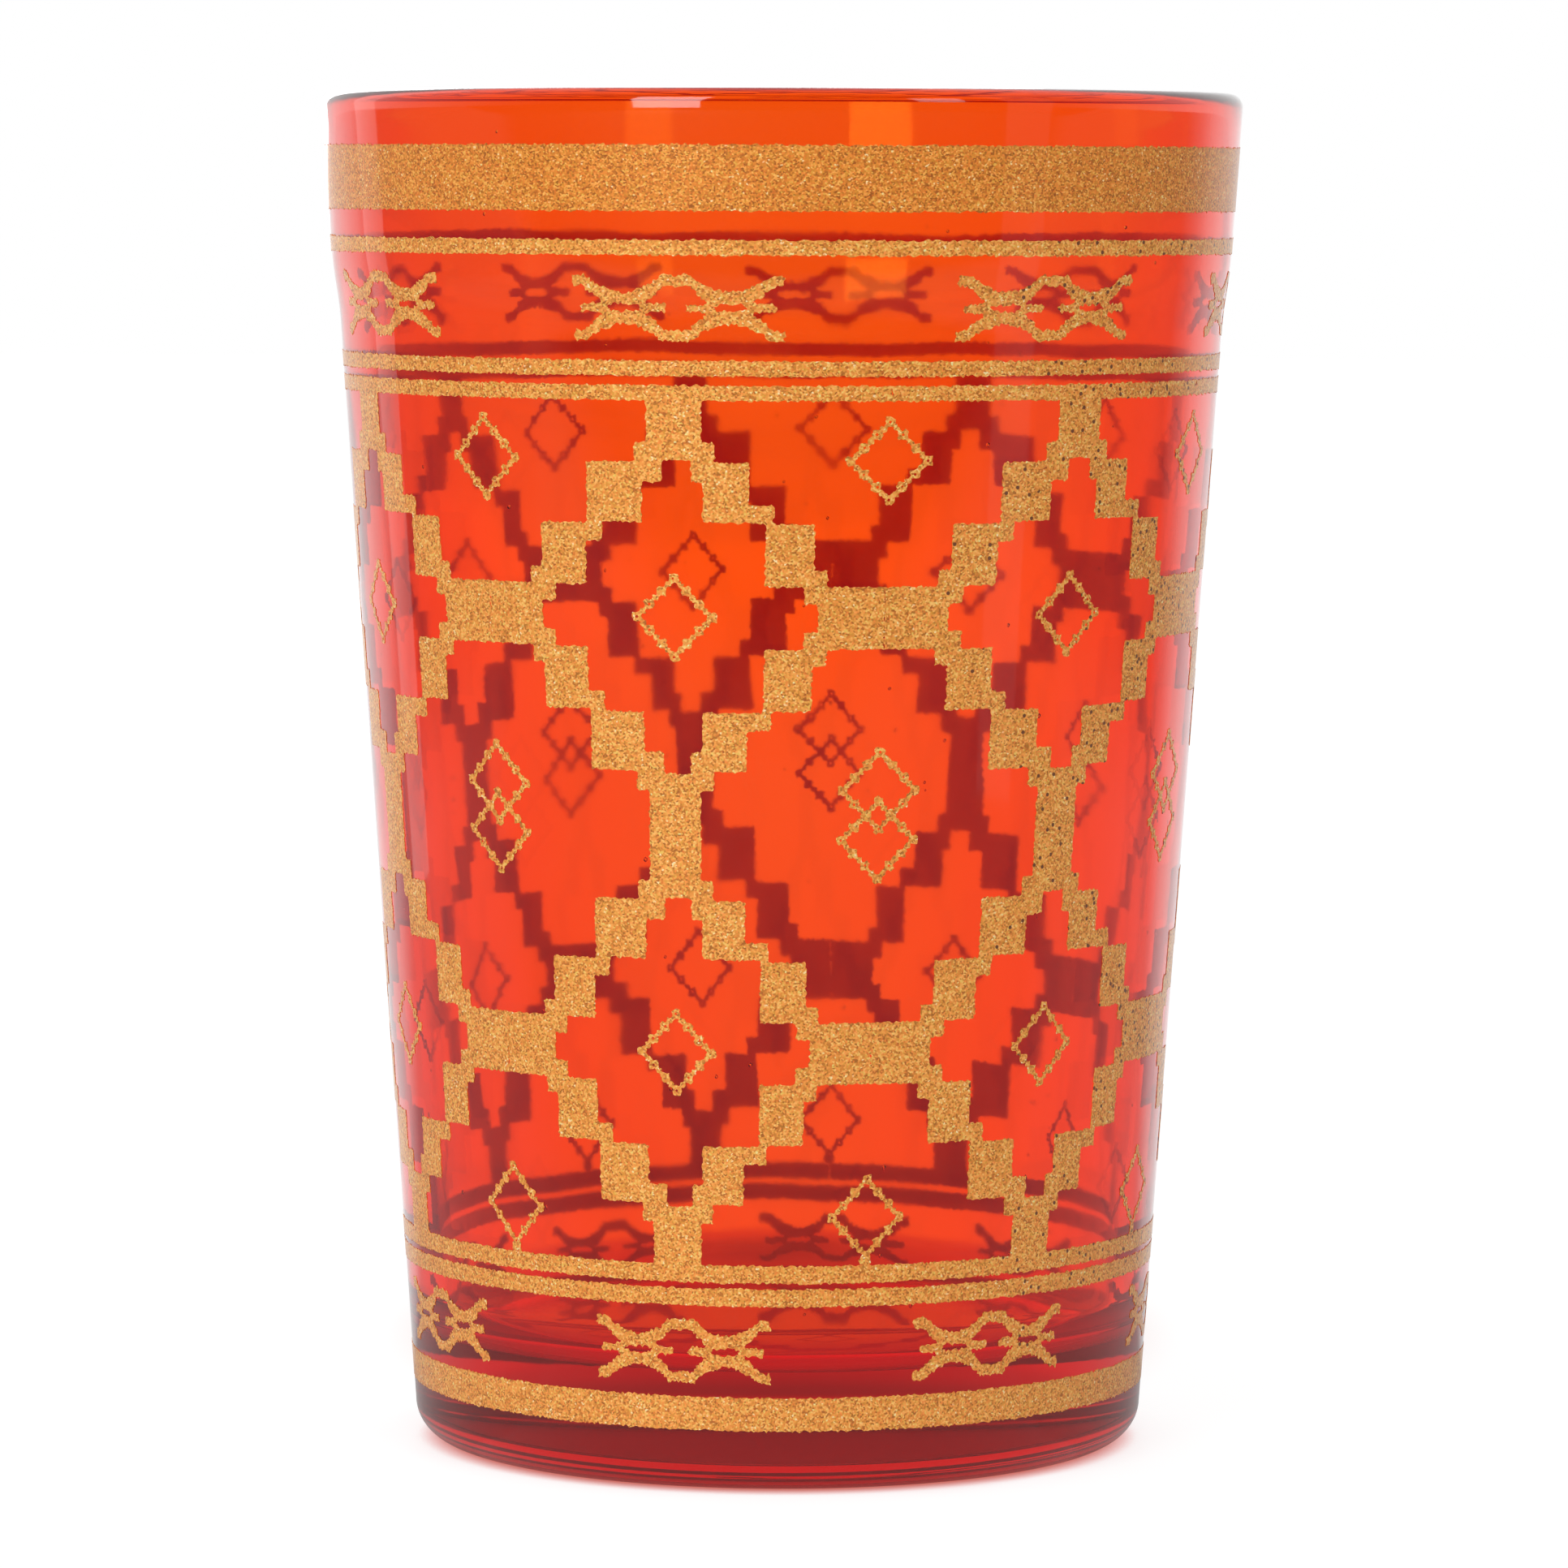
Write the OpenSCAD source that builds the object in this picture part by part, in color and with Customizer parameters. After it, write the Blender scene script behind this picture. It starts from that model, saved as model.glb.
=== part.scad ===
// Tea glass: a tapered pressed tumbler with a gold ornament fired on its outside.
// The foot stands on z = 0, the axis is Z and the ornament faces -Y at an angle of zero.

/* [Glass] */
// Height from the foot to the top of the rim
glass_h = 89; // [78:0.5:104]
// Diameter of the outside taper, carried down to the table
base_d = 47.85; // [42:0.05:54]
// Diameter of the outside taper, carried up to the top of the rim
mouth_d = 60.1; // [55:0.05:68]
// How far the mouth stands out from the taper
mouth_swell = 0.28; // [0:0.01:0.6]
// Height of the stretch over which the mouth swells out
swell_h = 4.6; // [2:0.1:6]
// Thickness of the wall under the rim
rim_wall = 1.6; // [1.2:0.1:3]
// Thickness of the wall where it meets the floor
floor_wall = 2.9; // [2:0.1:4.5]
// Height of the floor inside, from the table
floor_z = 7.5; // [5:0.1:12]
// Radius of the round between the wall and the floor
floor_round = 3.2; // [1.5:0.1:6]
// Radius of the round heel at the foot
heel_r = 2.5; // [1:0.1:3.5]
// Width of the flat ring that the glass stands on
foot_w = 2.2; // [1:0.1:4]
// Depth of the hollow under the foot
hollow_h = 0.9; // [0.3:0.1:2]

/* [Print] */
// Thickness of the fired gold
gold_t = 0.1; // [0.06:0.01:0.2]
// Turn of the ornament from the lattice's lower ring to its upper ring
print_lean = 1.2; // [-3:0.1:3]

/* [Rings] */
// Distance from the top of the rim down to the wide band
rim_band_drop = 3.55; // [2.5:0.05:5]
// Height of the wide band under the rim
rim_band_h = 4.12; // [2:0.05:5]
// Gap between the wide band and the thin ring
pinstripe_gap = 1.78; // [1:0.05:3]
// Height of the thin ring
pinstripe_h = 0.96; // [0.5:0.02:1.5]
// Gap between the thin ring and the upper ring of the pair
knot_field_h = 6.54; // [5.2:0.05:8]
// Height of each ring of the upper pair
upper_ring_h = 0.96; // [0.5:0.02:1.5]
// Gap between the rings of the upper pair
upper_ring_gap = 0.57; // [0.3:0.01:1]
// Height of the underside of the foot band
foot_band_z = 4.1; // [3.6:0.05:4.6]
// Height of the foot band
foot_band_h = 2.15; // [1:0.05:3]
// Gap between the foot band and the lower ring of the pair
lower_field_h = 5.9; // [5.2:0.05:8]
// Height of each ring of the lower pair
lower_ring_h = 1.13; // [0.5:0.01:1.5]
// Gap between the rings of the lower pair
lower_ring_gap = 0.38; // [0.2:0.01:0.8]

/* [Lattice] */
// Columns of the lattice around the glass
column_count = 7; // [7:1:7]
// Angle from one column to the next, over the front and the sides
column_pitch = 54.8; // [52:0.1:55.2]
// Narrower cells behind, where the print closes
closing_cells = 2; // [2:1:2]
// Angle of the column that stands nearest the front
column_a = -14.1; // [-30:0.1:30]
// Half angle of a small cell
cell_reach = 18.7; // [15:0.1:19.2]

/* [Diamonds] */
// Half angle of a beaded diamond
diamond_reach = 5; // [3.5:0.1:6]
// Half height of a beaded diamond, to the middle of its line
diamond_rise = 2.45; // [1.8:0.05:3]
// Width of a bead
bead_w = 0.62; // [0.4:0.01:0.8]
// Width of the link between two beads
link_w = 0.42; // [0.3:0.01:0.6]
// Width of the stub that ties a base diamond to the ring under it
stub_w = 0.78; // [0.4:0.02:1.2]
// Height of that stub
stub_h = 0.3; // [0.1:0.02:1]
// Gap between a crest diamond and the ring over it
crest_gap = 0.96; // [0.3:0.02:1.5]

/* [Knots] */
// Knots in each row around the glass
knot_count = 8; // [8:1:8]
// Angle from one knot to the next, over the front and the sides
knot_pitch = 48.4; // [45:0.1:49]
// Narrower gaps behind, where the print closes
closing_knots = 3; // [3:1:3]
// Angle of the knot that stands nearest the front
knot_a = -13.7; // [-30:0.1:30]
// Half angle of a knot
knot_reach = 13.4; // [10:0.1:14]
// Height of a knot
knot_h = 4.1; // [3:0.05:4.6]

/* [Hidden] */
$fn = 96;
glass_color = [0.95, 0.26, 0.06, 0.55];
gold_color = [0.85, 0.6, 0.32];
// Steps of a round in a section
round_steps = 8;

// Heights of the rings, down from the rim and up from the foot
rim_band_z = glass_h - rim_band_drop - rim_band_h;
pinstripe_z = rim_band_z - pinstripe_gap - pinstripe_h;
upper_border_z = pinstripe_z - knot_field_h - upper_ring_h;
lattice_top = upper_border_z - upper_ring_gap;
upper_knot_z = (pinstripe_z + upper_border_z + upper_ring_h) / 2;
foot_band_top = foot_band_z + foot_band_h;
lower_border_z = foot_band_top + lower_field_h;
lattice_bottom = lower_border_z + lower_ring_h + lower_ring_gap;
lower_knot_z = (foot_band_top + lower_border_z) / 2;

// The mouth swells out between the thin ring and the knots
swell_top = pinstripe_z;
swell_z = swell_top - swell_h;
taper = (mouth_d - base_d) / 2 / glass_h;
function swell(z) = mouth_swell * max(0, min(1, (z - swell_z) / swell_h));
function wall_r(z) = base_d / 2 + taper * z + swell(z);

// The bore follows the outside, and the wall thins evenly from the floor up to the rim
function wall_t(z) = floor_wall + (rim_wall - floor_wall) * (z - floor_z) / (glass_h - floor_z);
function bore_r(z) = wall_r(z) - wall_t(z);
rim_r = rim_wall / 2;
heel_in = wall_r(heel_r) - heel_r;
hollow_r = heel_in - foot_w;

// The lattice's clear field, and its two rows of small cells as shares of that field's height
field_top = lattice_top - upper_ring_h;
field_bottom = lattice_bottom + lower_ring_h;
field_h = field_top - field_bottom;
cell_row_shares = [0.2484, 0.7522];
cell_rise_share = 0.18;
cell_rise = field_h * cell_rise_share;
row_z = [for (s = cell_row_shares) field_bottom + s * field_h];

// Steps of a column beside a large cell, from its bar to its stem: how far over the bar's middle each
// step starts, in half heights of a small cell, and how far the column then still reaches to its right
// and to its left, in half angles of a small cell. Knees stand outside to the right, inside to the left.
flank_shares = [[0.2, 1.06, 1.09], [0.305, 0.965, 0.995], [0.595, 0.685, 0.63], [0.72, 0.515, 0.65],
    [0.985, 0.28, 0.28], [1.11, 0.19, 0.19]];
// Steps of a small cell in the same shares: half height, reach to the right and reach to the left
cell_shares = [[0.09, 1, 1], [0.2, 0.9, 0.895], [0.48, 0.6, 0.645], [0.605, 0.63, 0.52],
    [0.86, 0.2, 0.225], [1, 0.12, 0.08]];

// Heights of the diamonds: the crest hangs from the upper ring, the base stands on the lower one, and the
// twins lie at a share of the field, apart by a share of one diamond
diamond_top = diamond_rise + bead_w / 2;
crest_z = field_top - crest_gap - diamond_top;
base_z = field_bottom + stub_h + diamond_top;
twin_share = 0.525;
twin_part_share = 0.64;

// A quarter of a knot in half widths and half heights of it, from the tick at its side over the two arms
// of a cross to the arch; then a quarter of the gap in its middle and of an eye, from the eye's own middle
knot_shares = [[0.93, 0.12], [0.75, 0.13], [0.7, 0.17], [0.79, 0.37], [0.89, 0.66], [1, 0.69], [1, 1],
    [0.88, 1], [0.77, 0.74], [0.62, 0.55], [0.54, 0.48], [0.46, 0.48], [0.38, 0.55], [0.23, 0.74],
    [0.15, 1]];
gap_shares = [[0.09, 0.12], [0.25, 0.13], [0.3, 0.17], [0.21, 0.37], [0.12, 0.67]];
eye_shares = [[0.16, 0.05], [0.1, 0.1]];
eye_place_share = 0.5;

// Angles of the places around the glass: even over the front, narrower where the print closes
function place(i, first, count, pitch, closing) =
    let (even = count - closing, shut = (360 - even * pitch) / closing)
    first + min(i, even) * pitch + max(0, i - even) * shut;
function column(i) =
    place(i, column_a - 2 * column_pitch, column_count, column_pitch, closing_cells);
function knot_place(i) =
    place(i, knot_a - 2 * knot_pitch, knot_count, knot_pitch, closing_knots);
function cell_width(i) = column(i + 1) - column(i);
// A column reaches into a narrower cell in proportion, to its right and to its left
function reach_right(i) = cell_reach * cell_width(i) / column_pitch;
function reach_left(i) = reach_right((i + column_count - 1) % column_count);
columns = [for (i = [0 : column_count - 1]) column(i)];
middles = [for (i = [0 : column_count - 1]) (column(i) + column(i + 1)) / 2];
// The print leans a little about the middle of the field, so an angle depends on its height
field_z = (field_bottom + field_top) / 2;
function lean(z) = print_lean * (z - field_z) / field_h;
// The angle that an arc length takes at a height
function turn(arc_l, z) = arc_l / wall_r(z) * 180 / PI;

function reversed(list) = [for (i = [len(list) - 1 : -1 : 0]) list[i]];
// Points of a round from one angle to another
function arc(middle, r, from, to) = [for (i = [0 : round_steps])
    let (a = from + (to - from) * i / round_steps) middle + r * [cos(a), sin(a)]];

// Outside of the wall over a stretch of height, at a distance out from the glass
function skin(low, high, out) = [for (z = concat([low],
    [for (b = [swell_z, swell_top]) if (b > low && b < high) b], [high])) [wall_r(z) + out, z]];
// A section of the gold on the wall, from inside it to outside it
module gold_section(low, high, inside, outside)
    polygon(concat(skin(low, high, outside), reversed(skin(low, high, inside))));
// A ring of gold right round the glass
module ring(low, high) rotate_extrude() gold_section(low, high, 0, gold_t);
// A square opening in the gold, which passes a little further through it at each step
module square_opening(from, to, low, high, step) rotate([0, 0, from - 90])
    rotate_extrude(angle = to - from)
        gold_section(low, high, -gold_t * (step + 1), gold_t * (step + 2));

// A stepped small cell of the lattice: ever taller and narrower openings
module small_cell(i, row) {
    a = column(i) + lean(row_z[row]);
    for (k = [0 : len(cell_shares) - 1]) let (s = cell_shares[k])
        square_opening(a - s[2] * reach_left(i), a + s[1] * reach_right(i),
            row_z[row] - s[0] * cell_rise, row_z[row] + s[0] * cell_rise, k);
}
// A stepped large cell, whose openings run between their own heights
module large_cell(i, z, lows, highs) {
    a = middles[i] + lean(z);
    half = cell_width(i) / 2;
    for (k = [0 : len(flank_shares) - 1]) let (s = flank_shares[k])
        square_opening(a - half + s[1] * reach_right(i), a + half - s[2] * reach_right(i),
            lows[k], highs[k], k);
}
last_step = len(flank_shares) - 1;
over_bar = [for (z = row_z) [for (s = flank_shares) z + s[0] * cell_rise]];
under_bar = [for (z = row_z) [for (s = flank_shares) z - s[0] * cell_rise]];
// An opening over or under the outer bars runs half way into the step after the next
function into(steps, k, end) = k == last_step ? end
    : (steps[k + 1] + (k + 2 > last_step ? end : steps[k + 2])) / 2;
crest_ends = [for (k = [0 : last_step]) into(over_bar[1], k, field_top)];
base_ends = [for (k = [0 : last_step]) into(under_bar[0], k, field_bottom)];

// A flat motif on each of its places, stood up before the wall and cut to the gold's thickness
module printed(z, rise, reach, places) {
    near_r = wall_r(z - rise) * cos(reach) - gold_t;
    far_r = wall_r(z + rise) + 2 * gold_t;
    color(gold_color) intersection() {
        ring(z - rise, z + rise);
        for (a = places) rotate([90, 0, a + lean(z)]) translate([0, z, near_r])
            linear_extrude(height = far_r - near_r) children();
    }
}
function mirrored(points, x, y) = [for (p = points) [x * p.x, y * p.y]];
// A closed outline from its upper right quarter
function all_round(quarter) = concat(quarter, mirrored(reversed(quarter), -1, 1),
    mirrored(quarter, -1, -1), mirrored(reversed(quarter), 1, -1));
module pierced(outline, holes) difference() {
    polygon(outline);
    for (h = holes) polygon(h);
}

// A side of a beaded diamond has beads and links by turns, and its line steps at each of them
side_steps = 6;
function bead_half(k) = (k % 2 == 0 ? bead_w : link_w) / 2;
function bead_at(k, w) = [w * (1 - k / side_steps), diamond_rise * k / side_steps];
function corner_of(across, k_across, k_up, w) = [bead_at(k_across, w).x + across * bead_half(k_across),
    bead_at(k_up, w).y + across * bead_half(k_up)];
function outer_steps(w) = [for (k = [0 : side_steps], up = k == 0 ? [k] : [k - 1, k])
    corner_of(1, k, up, w)];
function inner_steps(w) = [for (k = [0 : side_steps - 1], up = k == 0 ? [k + 1] : [k, k + 1])
    corner_of(-1, k, up, w)];
module diamond(z) {
    w = wall_r(z) * sin(diamond_reach);
    pierced(all_round(outer_steps(w)), [all_round(inner_steps(w))]);
}
module diamond_print(z, rise, places)
    printed(z, rise + bead_w, diamond_reach + turn(bead_w, z), places) children();
module diamond_row(z, places) diamond_print(z, diamond_rise, places) diamond(z);

// A knot is two crosses with an eye each, whose arms meet in an arch over and under the middle
function sized(shares, size, at) = [for (s = shares) [(s.x + at) * size.x, s.y * size.y]];
module knot(z) {
    size = [wall_r(z) * sin(knot_reach), knot_h / 2];
    eyes = [for (at = [-1, 1]) sized(all_round(eye_shares), size, at * eye_place_share)];
    pierced(sized(all_round(knot_shares), size, 0), concat([sized(all_round(gap_shares), size, 0)], eyes));
}
module knot_row(z) printed(z, knot_h, knot_reach + turn(knot_h, z),
    [for (i = [0 : knot_count - 1]) knot_place(i)]) knot(z);

// Half section of the glass: hollow and foot, heel, wall, rim, bore and floor
module glass_body() {
    hollow = [for (i = [0 : round_steps]) let (s = i / round_steps)
        [s * hollow_r, hollow_h * (1 - s * s)]];
    heel = arc([heel_in, heel_r], heel_r, -90, 0);
    wall = [[wall_r(swell_z), swell_z], [wall_r(swell_top), swell_top]];
    rim = arc([wall_r(glass_h - rim_r) - rim_r, glass_h - rim_r], rim_r, 0, 180);
    bore = [for (z = [swell_top, swell_z]) [bore_r(z), z]];
    corner_z = floor_z + floor_round;
    corner = arc([bore_r(corner_z) - floor_round, corner_z], floor_round, 0, -90);
    color(glass_color) rotate_extrude()
        polygon(concat(hollow, heel, wall, rim, bore, corner, [[0, floor_z]]));
}

module rim_band() color(gold_color) ring(rim_band_z, rim_band_z + rim_band_h);
module upper_pinstripe() color(gold_color) ring(pinstripe_z, pinstripe_z + pinstripe_h);
module upper_knots() knot_row(upper_knot_z);
module upper_border_line() color(gold_color) ring(upper_border_z, upper_border_z + upper_ring_h);
module lattice() color(gold_color) difference() {
    ring(lattice_bottom, lattice_top);
    for (i = [0 : column_count - 1]) {
        small_cell(i, 0);
        small_cell(i, 1);
        large_cell(i, field_top, over_bar[1], crest_ends);
        large_cell(i, (row_z[0] + row_z[1]) / 2, over_bar[0], under_bar[1]);
        large_cell(i, field_bottom, base_ends, under_bar[0]);
    }
}
module crest_diamonds() diamond_row(crest_z, middles);
module upper_cell_diamonds() diamond_row(row_z[1], columns);
module twin_diamonds() {
    z = field_bottom + twin_share * field_h;
    apart = diamond_rise * twin_part_share;
    diamond_print(z, diamond_rise + apart, middles)
        for (up = [-1, 1]) translate([0, up * apart]) diamond(z);
}
module lower_cell_diamonds() diamond_row(row_z[0], columns);
module base_diamonds() {
    drop = base_z - field_bottom;
    diamond_print(base_z, drop, middles) {
        diamond(base_z);
        translate([-stub_w / 2, -drop]) square([stub_w, drop - diamond_rise]);
    }
}
module lower_border_line() color(gold_color) ring(lower_border_z, lower_border_z + lower_ring_h);
module lower_knots() knot_row(lower_knot_z);
module foot_band() color(gold_color) ring(foot_band_z, foot_band_top);

glass_body();
rim_band();
upper_pinstripe();
upper_knots();
upper_border_line();
lattice();
crest_diamonds();
upper_cell_diamonds();
twin_diamonds();
lower_cell_diamonds();
base_diamonds();
lower_border_line();
lower_knots();
foot_band();
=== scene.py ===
import math

import bmesh
import bpy
import numpy as np
from mathutils import Matrix, Vector, noise
from mathutils.geometry import delaunay_2d_cdt


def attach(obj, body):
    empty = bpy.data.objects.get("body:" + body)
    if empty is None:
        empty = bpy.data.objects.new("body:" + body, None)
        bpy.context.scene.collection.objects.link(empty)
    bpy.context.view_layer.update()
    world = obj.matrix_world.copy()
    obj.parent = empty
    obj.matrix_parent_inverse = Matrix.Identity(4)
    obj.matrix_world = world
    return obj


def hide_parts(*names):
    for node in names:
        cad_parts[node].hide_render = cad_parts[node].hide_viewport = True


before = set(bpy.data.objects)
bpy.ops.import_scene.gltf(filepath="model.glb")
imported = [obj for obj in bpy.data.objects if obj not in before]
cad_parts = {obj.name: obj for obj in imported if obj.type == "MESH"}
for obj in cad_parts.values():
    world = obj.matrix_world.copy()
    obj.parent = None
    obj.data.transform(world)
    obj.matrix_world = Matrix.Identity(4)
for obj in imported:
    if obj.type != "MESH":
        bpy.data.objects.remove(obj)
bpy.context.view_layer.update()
mm = 0.001  # lengths below are in millimetres, angles in degrees, and angle 0 faces the camera
draws = {"seeds": 5, "rings": 0, "lattice": 11, "diamonds": 20, "knots": 40}  # random starts
print("frame loaded:", len(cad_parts), "nodes")


# what the frame says of the wall and of the rings on it

edgeSlack = 0.005  # points of one edge lie this close in height
flatR = 27.0  # radius at which the wall is drawn flat
degree = flatR * math.pi / 180  # arc length of one degree in the flat drawing


def nodePoints(name):
    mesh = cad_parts[name].data
    flat = np.empty(len(mesh.vertices) * 3, np.float32)
    mesh.vertices.foreach_get("co", flat)
    return flat.reshape(-1, 3).astype(float) / mm


def ringEdge(name, top):  # height of a node's edge, and the wall's radius there
    points = nodePoints(name)
    z = points[:, 2].max() if top else points[:, 2].min()
    edge = points[abs(points[:, 2] - z) < edgeSlack]
    return z, np.hypot(edge[:, 0], edge[:, 1]).min()


def heights(name):
    points = nodePoints(name)
    return points[:, 2].min(), points[:, 2].max()


glassForm = {
    "rimWall": 1.85,
    "lipRound": 0.9,
    "lipBead": 0.035,  # how far the fire-polished lip swells into the bore
    "beadDrop": 2.7,
    "beadHeight": 1.1,
    "floorWall": 2.2,
    "floorZ": 7.5,
    "floorRound": 3.2,
    "heelRound": 2.5,
    "footWidth": 2.2,
    "hollowDepth": 0.9,
    "swellHeight": 4.6,  # the mouth swells out over this height, under the thin ring
    "turns": 320,
    "wallSteps": 100,
    "roundSteps": 14,
    "sharpAngle": 35,
    "waveSize": 9,
    "waveStretch": 0.6,  # below 1 the waves are longer up the wall than round it
    "waveDepth": 0.06,  # how far the pressed bore waves in and out
    "calmR": 15,  # inside this radius the waves die away to the middle of the floor
    "rippleShare": 0.22,  # finer ripples on the waves
    "rippleScale": 3.3,
    "seeds": 170,  # small bubbles in the wall
    "seedR": (0.05, 0.15),
    "seedStretch": (0.9, 1.8),
    "seedDepth": (0.3, 0.75),  # share of the wall's thickness, from the bore
    "seedClear": (4, 2.5),  # heights without seeds, over the floor and under the rim
}

glassH = heights("glass_body")[1]
footZ, footR = ringEdge("foot_band", True)
latticeZ, latticeR = ringEdge("lattice", True)
stripeZ, stripeR = ringEdge("upper_pinstripe", False)
taper = (latticeR - footR) / (latticeZ - footZ)
swell = stripeR - footR - taper * (stripeZ - footZ)


def wallR(z):
    share = np.clip((z - stripeZ) / glassForm["swellHeight"] + 1, 0, 1)
    return footR + taper * (z - footZ) + swell * share * share * (3 - 2 * share)


def onWall(angle, z, out):
    r, a = wallR(z) + out, np.radians(angle)
    return np.stack([r * np.sin(a), -r * np.cos(a), z], axis=1)


def meshObject(name, points, faces, material, sharpAngle=40):
    mesh = bpy.data.meshes.new(name)
    mesh.from_pydata((np.asarray(points) * mm).tolist(), [], faces)
    mesh.validate()
    mesh.polygons.foreach_set("use_smooth", [True] * len(mesh.polygons))
    mesh.set_sharp_from_angle(angle=math.radians(sharpAngle))
    mesh.materials.append(material)
    obj = bpy.data.objects.new(name, mesh)
    bpy.context.scene.collection.objects.link(obj)
    return obj


# node helpers

def newNode(tree, kind, place, **settings):
    node = tree.nodes.new(kind)
    node.location = place
    for key, value in settings.items():
        setattr(node, key, value)
    return node


def setInputs(node, values):
    for key, value in values.items():
        node.inputs[key].default_value = value


def newGroup(name, inputs, outputs):  # all sockets are plain numbers
    group = bpy.data.node_groups.new(name, "ShaderNodeTree")
    for socketName, value in inputs.items():
        socket = group.interface.new_socket(socketName, in_out="INPUT", socket_type="NodeSocketFloat")
        socket.default_value = value
    for socketName in outputs:
        group.interface.new_socket(socketName, in_out="OUTPUT", socket_type="NodeSocketFloat")
    given = newNode(group, "NodeGroupInput", (-900, 0))
    return group, given, newNode(group, "NodeGroupOutput", (900, 0))


def placeGroup(tree, group, place, values):
    node = newNode(tree, "ShaderNodeGroup", place, node_tree=group)
    setInputs(node, values)
    return node


def mathNode(tree, operation, values, place, clamp=False):
    node = newNode(tree, "ShaderNodeMath", place, operation=operation, use_clamp=clamp)
    for socket, value in zip(node.inputs, values):
        if isinstance(value, (int, float)):
            socket.default_value = value
        else:
            tree.links.new(value, socket)
    return node.outputs[0]


def mapRange(tree, value, spans, place, kind="LINEAR"):  # spans: from low, from high, to low, to high
    node = newNode(tree, "ShaderNodeMapRange", place, interpolation_type=kind)
    setInputs(node, dict(zip(("From Min", "From Max", "To Min", "To Max"), spans)))
    tree.links.new(value, node.inputs["Value"])
    return node.outputs["Result"]


def ramp(tree, factor, stops, place, interpolation="LINEAR"):
    node = newNode(tree, "ShaderNodeValToRGB", place)
    node.color_ramp.interpolation = interpolation
    while len(node.color_ramp.elements) < len(stops):
        node.color_ramp.elements.new(0.5)
    for element, (position, color) in zip(node.color_ramp.elements, stops):
        element.position = position
        element.color = (*color, 1)
    tree.links.new(factor, node.inputs["Fac"])
    return node.outputs["Color"]


def levelRamp(tree, value, stops, low, high, place):  # grey levels over a span of values
    share = mapRange(tree, value, (low, high, 0, 1), (place[0] - 250, place[1]))
    return ramp(tree, share, [((v - low) / (high - low), (g, g, g)) for v, g in stops], place)


def mixed(tree, factor, a, b, place, kind="RGBA", blend="MIX"):
    node = newNode(tree, "ShaderNodeMix", place, data_type=kind, blend_type=blend)
    for key, value in (("Factor", factor), ("A", a), ("B", b)):
        if isinstance(value, bpy.types.NodeSocket):
            tree.links.new(value, node.inputs[key])
        else:
            node.inputs[key].default_value = value
    return node.outputs["Result"]


def srgb(r, g, b):  # an 8-bit screen colour as linear values
    return tuple(((v / 255 + 0.055) / 1.055) ** 2.4 if v > 10 else v / 255 / 12.92 for v in (r, g, b))


def unrolled(tree, place):  # the wall rolled out flat
    x, y = place
    coords = newNode(tree, "ShaderNodeTexCoord", place)
    parts = newNode(tree, "ShaderNodeSeparateXYZ", (x + 160, y))
    tree.links.new(coords.outputs["Object"], parts.inputs["Vector"])
    back = mathNode(tree, "MULTIPLY", (parts.outputs["Y"], -1), (x + 320, y - 80))
    turn = mathNode(tree, "ARCTAN2", (parts.outputs["X"], back), (x + 480, y))
    arc = mathNode(tree, "MULTIPLY", (turn, flatR * mm), (x + 640, y))
    flat = newNode(tree, "ShaderNodeCombineXYZ", (x + 800, y))
    tree.links.new(arc, flat.inputs["X"])
    tree.links.new(parts.outputs["Z"], flat.inputs["Y"])
    return flat.outputs["Vector"]


def sizeScale(tree, size, place):  # a texture's scale from a size in millimetres
    return mathNode(tree, "DIVIDE", (1 / mm, size), place)


# finishes

goldLook = {
    "roughness": 0.42,
    "roughSpan": 0.2,  # some flakes are rougher by up to this
    "metallic": 0.2,
    "specular": 0.3,
    "coat": 0.6,
    "coatRoughness": 0.1,
    "bump": 0.5,
    "bumpHeight": 0.03,
    "flakeHues": [(0.0, (0.86, 1.0, 0.74)), (0.45, (1, 1, 1)), (0.75, (1, 1, 1)), (1.0, (1.0, 0.76, 0.72))],
    "pitColor": srgb(118, 66, 34),
    "pitSide": (10, 24),  # pinholes come in between these distances to the right
    "underTones": [(0.3, srgb(246, 186, 146)), (0.7, srgb(252, 206, 170))],
    "underRoughness": 0.55,
    "underMarks": 2.5,
}
# gold tones over the flakes; the stops from 0.98 up are painted glints on the brightest flakes
printTonesAndGlints = [(0.0, srgb(176, 100, 34)), (0.3, srgb(230, 143, 56)), (0.7, srgb(250, 166, 75)),
    (0.98, srgb(255, 202, 112)), (1.0, srgb(255, 228, 170))]
bandTonesAndGlints = [(0.0, srgb(168, 90, 26)), (0.3, srgb(220, 128, 42)), (0.7, srgb(240, 148, 54)),
    (0.98, srgb(254, 186, 90)), (1.0, srgb(255, 222, 160))]
# tones, size of the flakes and plenty of pinholes
goldFinishes = {"firedGold": (printTonesAndGlints, 0.11, 0.32), "footGold": (printTonesAndGlints, 0.11, 0),
    "bandGold": (bandTonesAndGlints, 0.1, 0)}

glassLook = {
    "ior": 1.5,
    "tint": (0.9945, 0.67, 0.0),  # share of red, green and blue that the glass lets by
    "density": 2000,  # absorption per metre
    "markSpan": (0.3, 0.7, 0.03, 0.07),  # handling marks, and the roughness that they bring
    "bump": 0.06,
    "bumpHeight": 0.01,
    "groundR": 21.6,  # the foot is ground matt underneath
    "groundZ": 1.2,
    "groundRough": 0.6,
    "polish": 0.35,
}


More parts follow.
